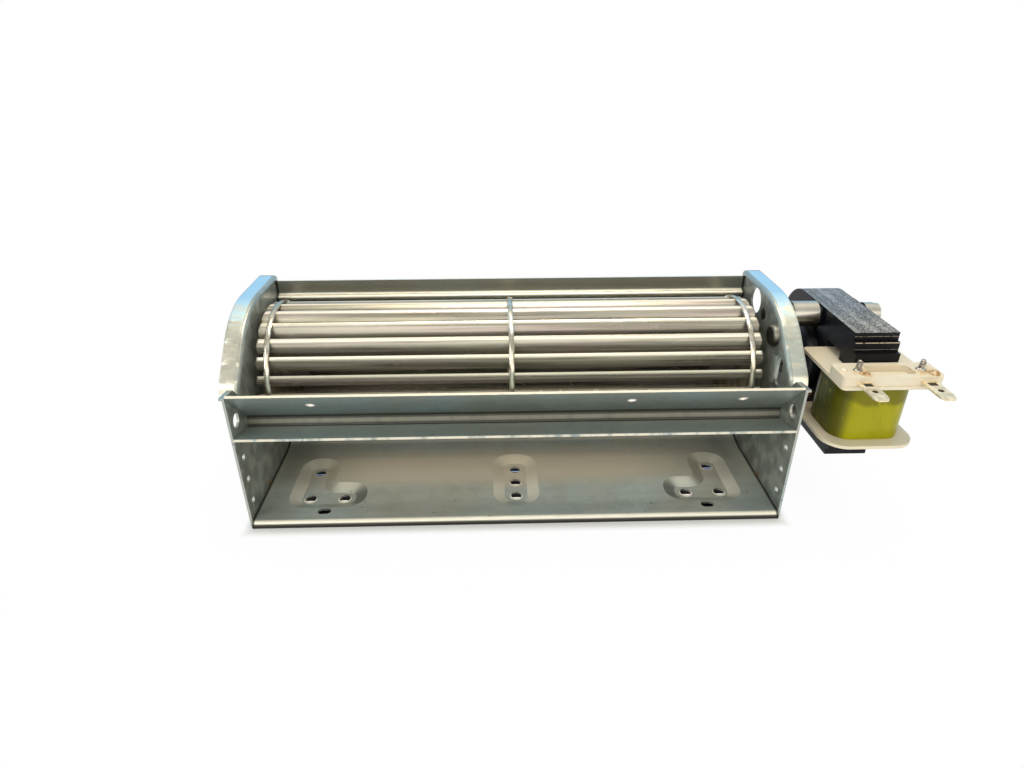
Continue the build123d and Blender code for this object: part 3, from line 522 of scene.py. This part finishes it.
rolled_bead("left_disc_bead", "left_end_disc")
rolled_bead("middle_ring_bead", "middle_ring")
rolled_bead("right_disc_bead", "right_end_disc")

# Shafts, hubs, bearings, screws and brackets
# Bright, plated and blackened steel, bronze and copper: one finish in eight
# colours, with fine marks round the axis and painted shade on the underside. The
# screws clamp the stack between its brackets and to the standoffs on the right plate.


def turned(name, grey, roughness, marks=900.0):
    """Noise squeezed along X reads as rings round the shaft; marks is how fine they are."""
    paint = Paint(name)
    ring = paint.noise(marks, 3.0, (1.0, 0.02, 0.02))
    stain = paint.noise(90.0, 4.0)
    base = paint.mix(0.25 + 0.45 * stain + 0.4 * ring, tuple(0.30 * c for c in grey), grey)
    # painted shade: faces turned down and back are darkened
    under = paint.facing((0, 0.3, -1)).step(-0.75, 0.1)
    base = paint.mix(under * 0.8, base, tuple(0.12 * c for c in grey))
    return paint.finish(
        Base_Color=base, Metallic=1.0, Roughness=roughness + ring * 0.12 + stain * 0.1,
        Normal=paint.bump(ring, 0.00001),
    )


dress(turned("bright_steel", (0.62, 0.62, 0.63), 0.22), "motor_shaft", "left_hub", "right_hub")
dress(turned("plated_steel", (0.80, 0.76, 0.66), 0.20, 240.0), "standoffs", "screw_collars", "motor_screws")
dress(turned("dull_stud", (0.40, 0.38, 0.31), 0.34), "plate_stud")
dress(turned("black_steel", (0.06, 0.06, 0.065), 0.4), "hub_screw")
dress(turned("sintered_bronze", (0.42, 0.30, 0.17), 0.5), "left_bush", "inner_bearing", "outer_bearing")
dress(turned("rotor_metal", (0.30, 0.30, 0.31), 0.35), "rotor")
dress(turned("shading_copper", (0.72, 0.36, 0.22), 0.3), "shading_rings")
dress(turned("dark_bracket", (0.09, 0.09, 0.10), 0.45, 700.0), "inner_bracket", "outer_bracket")

# Grommet and washer
# The black rubber ring that holds the left bush in its plate, and the plastic
# thrust washer between bush and hub.


def moulded(name, colour, roughness, dirt, dirt_amount):
    """Moulded rubber or plastic: an even colour with soft mottling and handling dirt."""
    paint = Paint(name)
    cloud = paint.noise(60.0, 4.0)
    grain = paint.noise(900.0, 2.0)
    base = paint.mix(cloud.step(0.45, 0.75) * dirt_amount, colour, dirt)
    return paint.finish(
        Base_Color=base, Roughness=roughness + cloud * 0.1, Normal=paint.bump(grain, 0.00004)
    )


dress(moulded("black_rubber", (0.018, 0.018, 0.02), 0.6, (0.06, 0.055, 0.05), 0.6), "left_grommet")
dress(moulded("washer_plastic", (0.72, 0.69, 0.60), 0.4, (0.5, 0.45, 0.35), 0.4), "left_thrust_washer")

# Stator and core
# A stack of stamped sheets under black varnish, whose leg carries the coil. The
# sheet edges show as lines across the stack, rubbed through to grey on top. The
# side is blue black, and three painted highlight lines, where the steps of the
# front catch the light, cross the front.
lamination_pitch = 0.0005
worn_top_z, worn_back_y = (0.0765, 0.0772), (-0.01, 0.03)
front_highlight_lines = ((0.0762, 0.00016, 0.35), (0.0741, 0.00024, 0.9), (0.0712, 0.00014, 0.35))


def laminated(name):
    """Sheet edges repeat along X each lamination_pitch; the wear is a fine speckle in a few rows.

    Each of front_highlight_lines gives a height, half a width and a strength."""
    paint = Paint(name)
    count = paint.along(0) / lamination_pitch
    groove = paint.node("ShaderNodeMath", {"operation": "PINGPONG"}, count, 0.5) * 2.0
    speck = paint.noise(2600.0, 3.0, (1.0, 0.6, 0.6))
    row = paint.noise(420.0, 2.0, (1.0, 0.02, 0.02))
    cloud = paint.noise(110.0, 4.0)
    top = paint.facing((0, 0, 1)).step(0.2, 0.95) * paint.along(2).step(*worn_top_z)
    wear = (speck * 0.9 + row * 0.15 + cloud * 0.15).step(0.54, 0.68) * top
    grey = paint.mix(paint.along(1).step(*worn_back_y), (0.66, 0.60, 0.50), (0.50, 0.52, 0.54))
    stripe = paint.noise(300.0, 2.0, (1.0, 0.0, 0.0)).step(0.40, 0.60)
    rubbed = (0.12 * top + wear * 0.88) * (0.62 + 0.38 * stripe)
    base = paint.mix(rubbed, (0.006, 0.006, 0.008), grey)
    side_face = abs(paint.facing((1, 0, 0))) > 0.9
    base = paint.mix(side_face, base, (0.004, 0.005, 0.009))
    front = paint.facing((0, -1, 0)) > 0.9
    # painted highlights: light lines across the front where its steps catch the light
    line = 0.0
    for line_z, half_width, strength in front_highlight_lines:
        line = abs(paint.along(2) - line_z).step(half_width, half_width * 0.6) * strength + line
    line = line * front * paint.noise(800.0, 3.0, (1.0, 0.2, 0.2)).step(0.30, 0.48)
    base = paint.mix(line, base, (0.72, 0.62, 0.44))
    height = groove * (1.0 - side_face) * 0.5 + speck * 0.5
    return paint.finish(
        Base_Color=base, Metallic=wear * 0.8 | line * 0.7, Roughness=0.24 + speck * 0.16 + wear * 0.16,
        Specular_IOR_Level=0.14, Normal=paint.bump(height, 0.00016),
    )


dress(laminated("varnished_stack"), "stator_yoke", "coil_core")

# Coil
# A cream moulded bobbin, the winding under olive yellow film tape, and two
# tinned tabs whose posts take the ends of the winding. Brown flux has run over
# the block round both posts.
tape_low, tape_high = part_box("coil_tape")
post_y, post_radius = -0.0195, 0.0006
terminals = ("left_terminal", "right_terminal")
post_x = []
for node in terminals:
    low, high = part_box(node)
    post_x.append((low.x + high.x) / 2)
post_top, tab_top = high.z, 0.0647
bobbin_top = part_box("coil_bobbin")[1].z
flux_spreads, flux_shift_x, flux_shift_y = (0.0078, 0.0088), 0.0012, -0.0018
paint = Paint("cream_bobbin")
cloud = paint.noise(55.0, 4.0)
fine = paint.noise(700.0, 3.0)
base = paint.mix(cloud.step(0.4, 0.7) * 0.30, (0.74, 0.66, 0.50), (0.68, 0.57, 0.40))
base = paint.mix(fine * 0.12, base, (0.66, 0.58, 0.42))
blot = paint.noise(620.0, 3.0) * 0.0075
for x, spread in zip(post_x, flux_spreads):
    centre = (x + flux_shift_x, post_y + flux_shift_y, bobbin_top)
    reach = paint.away(centre, (0.8, 0.9, 0.8)) + blot
    base = paint.mix(reach.step(spread, spread * 0.55) * 0.75, base, (0.62, 0.34, 0.08))
    base = paint.mix(reach.step(spread * 0.62, spread * 0.45) * 0.6, base, (0.20, 0.09, 0.02))
bobbin_paint = paint.finish(
    Base_Color=base, Roughness=0.38 + cloud * 0.12, Subsurface_Weight=0.06, Subsurface_Scale=0.002,
    Normal=paint.bump(fine, 0.00005),
)
dress(bobbin_paint, "coil_bobbin")

# The tape: olive yellow film with soft creases and sticky spots, with painted shade in its upper
# part along a bowed border and on its left side
tape_middle_x, shade_bow, shade_z = 0.152, 7.0, (0.0500, 0.0525)
paint = Paint("olive_tape")
cloud = paint.noise(70.0, 3.0, (1.0, 1.0, 0.5))
crease = paint.noise(160.0, 4.0, (1.0, 1.0, 0.12), (0.3, 0.8, 0.1))
sticky = paint.noise(420.0, 4.0, (1.0, 1.0, 0.6)).step(0.62, 0.74)
base = paint.mix(cloud.step(0.35, 0.65), (0.27, 0.255, 0.001), (0.34, 0.32, 0.002))
from_middle = paint.along(0) - tape_middle_x
bow = from_middle * from_middle * shade_bow
# painted shade: the upper part of the tape, below the block, is darker
shade = (paint.along(2) - bow + (crease - 0.5) * 0.006).step(*shade_z)
base = paint.mix(shade * 0.75, base, (0.12, 0.110, 0.002))
# painted shade: the left side of the tape is darker
base = paint.mix(paint.facing((-1, 0, 0)).step(0.25, 0.8) * 0.85, base, (0.050, 0.050, 0.004))
base = paint.mix(sticky * 0.5, base, (0.62, 0.58, 0.04))
tape_paint = paint.finish(
    Base_Color=base, Roughness=0.22 + crease * 0.12, Specular_IOR_Level=0.22,
    Normal=paint.bump(crease + sticky * 0.2, 0.0003),
)
dress(tape_paint, "coil_tape")
wire_paint = turned("enamelled_wire", (0.50, 0.26, 0.10), 0.25)
dress(wire_paint, "coil_winding")

# Free end of the tape
# The last turn of the film laps over the one below round the left side of the
# coil, and ends in a straight edge near the front left corner.
tape_corner, lap_thickness, lap_ruffle, lap_inset, lap_spacing = 0.008, 0.00014, 0.00003, 0.0002, 0.0006
lap_front, lap_back = 0.0115, 0.010
mid_x, mid_y = (tape_low.x + tape_high.x) / 2, (tape_low.y + tape_high.y) / 2
half_x, half_y = (tape_high.x - tape_low.x) / 2, (tape_high.y - tape_low.y) / 2
lap_height = tape_high.z - tape_low.z - 2 * lap_inset
lap_corners = [
    (-half_x + lap_front, -half_y), (-half_x, -half_y), (-half_x, half_y), (half_x - lap_back, half_y)
]
path, out = bent_path(lap_corners, [tape_corner, tape_corner], lap_spacing)
rise = np.linspace(0.0, 1.0, 25)[None, :]
lap = []
for offset in (lap_thickness, -lap_thickness):
    ruffle = lap_ruffle * np.sin(60 * rise + 9 * path[:, :1] / half_x) + offset
    x = mid_x + path[:, :1] - out[:, :1] * ruffle
    y = mid_y + path[:, 1:] - out[:, 1:] * ruffle
    z = tape_low.z + lap_inset + lap_height * rise + 0 * path[:, :1]
    lap.append(np.stack([x, y, z], axis=-1))
shell = np.concatenate([lap[0], lap[1][:, ::-1]], axis=1)
grid_piece("tape_lap", shell, tape_paint, "housing", (False, True), True)

# Terminals
# Stamped and tinned brass tabs with a rounded tip and a hole, gripped by the
# block. They take the place of the plain tabs and keep their size. The dark
# window beside the block is painted shade of an opening: the open one lies inside
# the block. A dark ring of painted shade edges the hole in each tip.
window_y, window_half_x, window_half_y, window_shift = -0.0284, 0.0018, 0.0014, 0.0002
hole_y, hole_shade_edge, soft_edge = -0.0338, (0.00125, 0.00100), 0.0002
paint = Paint("tinned_tab")
dull = paint.noise(420.0, 4.0)
base = paint.mix(dull.step(0.35, 0.65), (0.72, 0.58, 0.36), (0.96, 0.84, 0.60))
for x in post_x:
    # painted shade: a dark window beside the block
    beside = abs(paint.along(0) - (x + window_shift)).step(window_half_x, window_half_x - soft_edge)
    before = abs(paint.along(1) - window_y).step(window_half_y, window_half_y - soft_edge)
    base = paint.mix(beside * before, base, (0.020, 0.014, 0.010))
    # painted shade: a dark ring round the hole in the tip
    hole = paint.away((x, hole_y, 0.0), (1.0, 1.0, 0.0)).step(*hole_shade_edge)
    base = paint.mix(hole, base, (0.10, 0.05, 0.02))
tab_paint = paint.finish(
    Base_Color=base, Metallic=0.55, Roughness=0.26 + dull * 0.2, Normal=paint.bump(dull, 0.00006)
)
tab_tip, tab_split, tab_root, root_window_y = -0.0404, -0.0301, -0.0190, -0.0235
tab_half, tab_gauge, tab_bevel = 0.00315, 0.0008, 0.00008
tip_hole, root_window = (0.0009, 0.0009, 2.0), (0.0016, 0.0010, 8.0)
round_power, square_power = 3.6, 60.0


def ringed_plate(centre, reach, hole, power_front, power_back):
    """A flat ring: rays from the hole's centre run to the edges of the hole and of the tab.

    Each edge is a rounded oblong: x over its half width and y over its half length, each raised to a
    power, add up to one. reach is the half width, then the lengths to the front and to the back;
    hole is its half width, its half length and its power."""
    turn = np.linspace(0, 2 * np.pi, 96, endpoint=False)
    c, s = np.cos(turn), np.sin(turn)
    power = np.where(s < 0, power_front, power_back)
    across, along = np.abs(c / reach[0]), np.abs(s / np.where(s < 0, reach[1], reach[2]))
    far = (across**power + along**power) ** (-1 / power)
    near = (np.abs(c / hole[0]) ** hole[2] + np.abs(s / hole[1]) ** hole[2]) ** (-1 / hole[2])
    ring = [(near, tab_top), (far - tab_bevel, tab_top), (far, tab_top - tab_bevel)]
    ring += [(r, 2 * tab_top - tab_gauge - z) for r, z in ring[::-1]]
    rows = [np.column_stack([centre[0] + r * c, centre[1] + r * s, np.full_like(c, z)]) for r, z in ring]
    return np.stack(rows)


for name, node, x in zip(("left_tab", "right_tab"), terminals, post_x):
    tip_reach = (tab_half, hole_y - tab_tip, tab_split - hole_y)
    tip_ring = ringed_plate((x, hole_y), tip_reach, tip_hole, round_power, square_power)
    root_reach = (tab_half, root_window_y - tab_split, tab_root - root_window_y)
    root_ring = ringed_plate((x, root_window_y), root_reach, root_window, square_power, square_power)
    for part, ring in (("blade", tip_ring), ("root", root_ring)):
        piece = grid_piece(
            f"{name}_{part}", ring, tab_paint, "housing", (True, True), crease=0.5
        )
        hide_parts(node)

# Posts with their windings
# The ends of the winding are wound on round posts and soldered, which has left a
# lumpy nub at the foot of each post and some solder at its top. The posts stand
# in the block, and a lead runs from each back to the coil.
solder = Paint("solder")
mottle = solder.noise(900.0, 4.0)
solder_paint = solder.finish(
    Base_Color=solder.mix(mottle.step(0.4, 0.65), (0.62, 0.58, 0.50), (0.24, 0.20, 0.15)),
    Metallic=1.0, Roughness=0.22 + mottle * 0.2, Normal=solder.bump(mottle, 0.0003),
)
wrap_turns, wrap_radius, wrap_wander, wrap_start, wrap_height = 5.0, 0.00088, 0.00016, 0.0004, 0.0031
wire_radius, post_bed = 0.00021, 0.0002
lead_start_x, lead_start_y, lead_start_z = 0.0011, 0.0005, 0.0005
lead_end_x, lead_end_y, lead_drop = 0.0020, 0.0129, 0.0036
lead_bow, upward = np.array([0.0009, 0.0016, 0.0013]), np.array([0.0, 0.0, 1.0])
# Each swelling of a post: what it adds to the radius, then its height and spread as shares
swellings = ((0.00125, 0.0, 0.20), (0.00045, 0.42, 0.12), (0.00028, 0.90, 0.07), (0.00022, 0.68, 0.05))
for name, node, x, phase in zip(("left", "right"), terminals, post_x, (0.4, 2.1)):
    height = np.linspace(0.0, 1.0, 61)[:, None]
    turn = np.linspace(0, 2 * np.pi, 28, endpoint=False)[None, :]
    nub = sum(size * np.exp(-(((height - middle) / spread) ** 2)) for size, middle, spread in swellings)
    lump = 1.0 + 0.20 * np.sin(2 * turn + 7 * height + phase) + 0.10 * np.sin(3 * turn - 15 * height)
    r = (post_radius + nub * lump) * np.sqrt(np.clip(1.0 - height**24, 0.0, 1.0))
    z = bobbin_top - post_bed + (post_top - bobbin_top + post_bed) * height + 0 * turn
    post = np.stack([x + r * np.cos(turn), post_y + r * np.sin(turn), z], axis=-1)
    piece = grid_piece(
        f"{name}_post", post, solder_paint, "housing", (False, True), True, 1.2
    )
    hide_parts(node)
    way = np.linspace(0.0, 1.0, 181)[:, None]
    swing = 2 * np.pi * wrap_turns * way + phase
    radius = wrap_radius + wrap_wander * np.sin(3.1 * swing)
    outward = np.concatenate([np.cos(swing), np.sin(swing), 0 * swing], axis=1)
    centre = radius * outward + [x, post_y, bobbin_top + wrap_start] + wrap_height * way * upward
    roll = np.linspace(0, 2 * np.pi, 8, endpoint=False)[None, :, None]
    wrap = centre[:, None] + wire_radius * (np.cos(roll) * outward[:, None] + np.sin(roll) * upward)
    grid_piece(f"{name}_wire_wrap", wrap, solder_paint, "housing", (False, True), True)
    lead_start = np.array([x + lead_start_x, post_y + lead_start_y, bobbin_top + lead_start_z])
    bobbin_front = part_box("coil_bobbin")[0].y
    lead_end = np.array([x + lead_end_x, bobbin_front + lead_end_y, bobbin_top - lead_drop])
    line = lead_start + (lead_end - lead_start) * way + np.sin(np.pi * way) * lead_bow
    run = np.gradient(line, axis=0)
    run = run / np.linalg.norm(run, axis=1)[:, None]
    across = np.cross(run, upward)
    across = across / np.linalg.norm(across, axis=1)[:, None]
    over = np.cross(across, run)
    lead = line[:, None] + wire_radius * (np.cos(roll) * across[:, None] + np.sin(roll) * over[:, None])
    grid_piece(f"{name}_lead", lead, wire_paint, "housing", (False, True), True)

# Small bosses on the bobbin
# A moulded knob at the left end of the block, and two blobs of hardened flux
# in front of the posts, each bedded in the block.
dome_skirt, dome_wave = 0.0004, 0.04
flux = Paint("hard_flux")
mottle = flux.noise(500.0, 4.0)
flux_paint = flux.finish(
    Base_Color=flux.mix(mottle.step(0.4, 0.62), (0.66, 0.54, 0.32), (0.34, 0.17, 0.04)),
    Roughness=0.22 + mottle * 0.15, Normal=flux.bump(mottle, 0.0002),
)


def dome(name, place_x, place_y, radius, rise, material):
    """Half an egg over a short skirt: radius times cos(t), rise times sin(t), then down by the skirt."""
    t = np.linspace(0.0, 0.5 * np.pi - 0.08, 12)
    r = np.concatenate([[radius], radius * np.cos(t)])[:, None]
    z = np.concatenate([[-dome_skirt], rise * np.sin(t)])[:, None]
    turn = np.linspace(0, 2 * np.pi, 32, endpoint=False)[None, :]
    r = r * (1.0 + dome_wave * np.sin(3 * turn))
    x, y = place_x + r * np.cos(turn), place_y + r * np.sin(turn)
    points = np.stack([x, y, bobbin_top + z + 0 * turn], axis=-1)
    grid_piece(name, points, material, "housing", (False, True), True)


dome("block_boss", 0.1290, -0.0196, 0.0016, 0.0011, bobbin_paint)
dome("left_flux_blob", 0.1362, -0.0241, 0.0017, 0.0015, flux_paint)
dome("right_flux_blob", 0.1632, -0.0238, 0.0019, 0.0016, flux_paint)

# Floor
# A plain white table, which glows to the camera away from the fan's footprint.
# Under the feet it has a painted shadow with three painted lines of light across,
# so that the base holes look much as they do in the photograph.
floor_size = 8.0
footprint_half_x, footprint_y, footprint_half_y = 0.113, 0.0215, 0.0520
shade_half_x, shade_y, shade_half_y = (0.1045, 0.1010), -0.0050, (0.0210, 0.0190)
warm_light, cool_light = (2.0, 1.9, 1.75), (1.0, 1.3, 2.2)
painted_light_lines = ((-0.0108, 0.0008, warm_light), (-0.0010, 0.0007, warm_light), (0.0098, 0.0004, cool_light))
floor = bpy.data.objects.new("floor", bpy.data.meshes.new("floor"))
half = floor_size / 2
floor.data.from_pydata(
    [(-half, -half, 0), (half, -half, 0), (half, half, 0), (-half, half, 0)], [], [(0, 1, 2, 3)]
)
bpy.context.scene.collection.objects.link(floor)
paint = Paint("floor_white")
seen = paint.node("ShaderNodeLightPath", out=0)
gloss = paint.node("ShaderNodeLightPath", out=3)
through = paint.node("ShaderNodeLightPath", out=6)
beside = abs(paint.along(0)) - footprint_half_x
before = abs(paint.along(1) - footprint_y) - footprint_half_y
outside = (beside | before).step(-0.001, 0.004)
far = (beside | before).step(0.0, 0.08)
glow_share = (seen | gloss | through) * outside * (0.95 + 0.05 * far)
# painted shadow: the floor under the feet is dark
under = abs(paint.along(0)).step(*shade_half_x) * abs(paint.along(1) - shade_y).step(*shade_half_y)
white = paint.mix(under, (0.86, 0.86, 0.86), (0.02, 0.02, 0.025))
# painted light: bright lines across the painted shadow
for line_y, half_width, light in painted_light_lines:
    gleam = abs(paint.along(1) - line_y).step(half_width, half_width * 0.6)
    white = paint.mix(gleam * under, white, light)
diffuse = paint.node("ShaderNodeBsdfDiffuse", None, white)
glow = paint.node("ShaderNodeEmission", None, (1.0, 1.0, 1.0, 1.0), 1.0)
mixed = paint.node("ShaderNodeMixShader", None, glow_share, diffuse, glow)
paint.node("ShaderNodeOutputMaterial", None, mixed)
floor.data.materials.append(paint.material)

# Lamps
# A warm soft lamp overhead and two larger ones in front, one of them warm and
# low, all turned to the middle of the fan.
lamp_aim, lamp_level = np.array([0.02, 0.02, 0.04]), np.array([0.0, 0.99, 0.14])


def lamp(name, place, size, watts, tint=(1.0, 1.0, 1.0)):
    """A square lamp at a place, facing lamp_aim."""
    light = bpy.data.lights.new(name, "AREA")
    light.shape, light.size, light.energy, light.color = "SQUARE", size, watts, tint
    made = bpy.data.objects.new(name, light)
    back = np.array(place) - lamp_aim
    back = back / np.linalg.norm(back)
    side_way = np.cross(lamp_level, back)
    side_way = side_way / np.linalg.norm(side_way)
    stand = np.eye(4)
    stand[:3, :3] = np.column_stack([side_way, np.cross(back, side_way), back])
    stand[:3, 3] = place
    made.matrix_world = Matrix(stand.tolist())
    bpy.context.scene.collection.objects.link(made)


lamp("overhead", (0.1, 0.15, 1.5), 0.55, 9.0, (1.0, 0.93, 0.80))
lamp("front_left", (-1.1, -1.1, 0.9), 0.7, 7.0)
lamp("front_low", (0.2, -1.7, 0.45), 2.0, 16.0, (1.0, 0.96, 0.88))

# Sky
# Brighter behind the fan than in front of it, pale blue low there and cream
# above. The camera itself sees plain white.
world = bpy.data.worlds.new("studio")
world.use_nodes = True
bpy.context.scene.world = world
sky = Paint("studio", world.node_tree)
direction = sky.node("ShaderNodeTexCoord", out=0)
ahead_part = sky.node("ShaderNodeSeparateXYZ", None, direction, out=1)
up_part = sky.node("ShaderNodeSeparateXYZ", None, direction, out=2)
strength = ahead_part.step(-0.4, 0.4) * 0.35 + up_part.step(0.3, 0.9) * 0.12 + 0.50
tint = sky.mix(up_part.step(0.55, 0.85), (0.50, 0.76, 1.0), (1.0, 0.92, 0.78))
tint = sky.mix(ahead_part.step(0.30, -0.10), tint, (0.97, 0.98, 0.95))
lit = sky.node("ShaderNodeBackground", None, tint, strength)
plain = sky.node("ShaderNodeBackground", None, (1.0, 1.0, 1.0, 1.0), 1.0)
to_camera = sky.node("ShaderNodeLightPath", out=0)
sky.node("ShaderNodeOutputWorld", None, sky.node("ShaderNodeMixShader", None, to_camera, lit, plain))
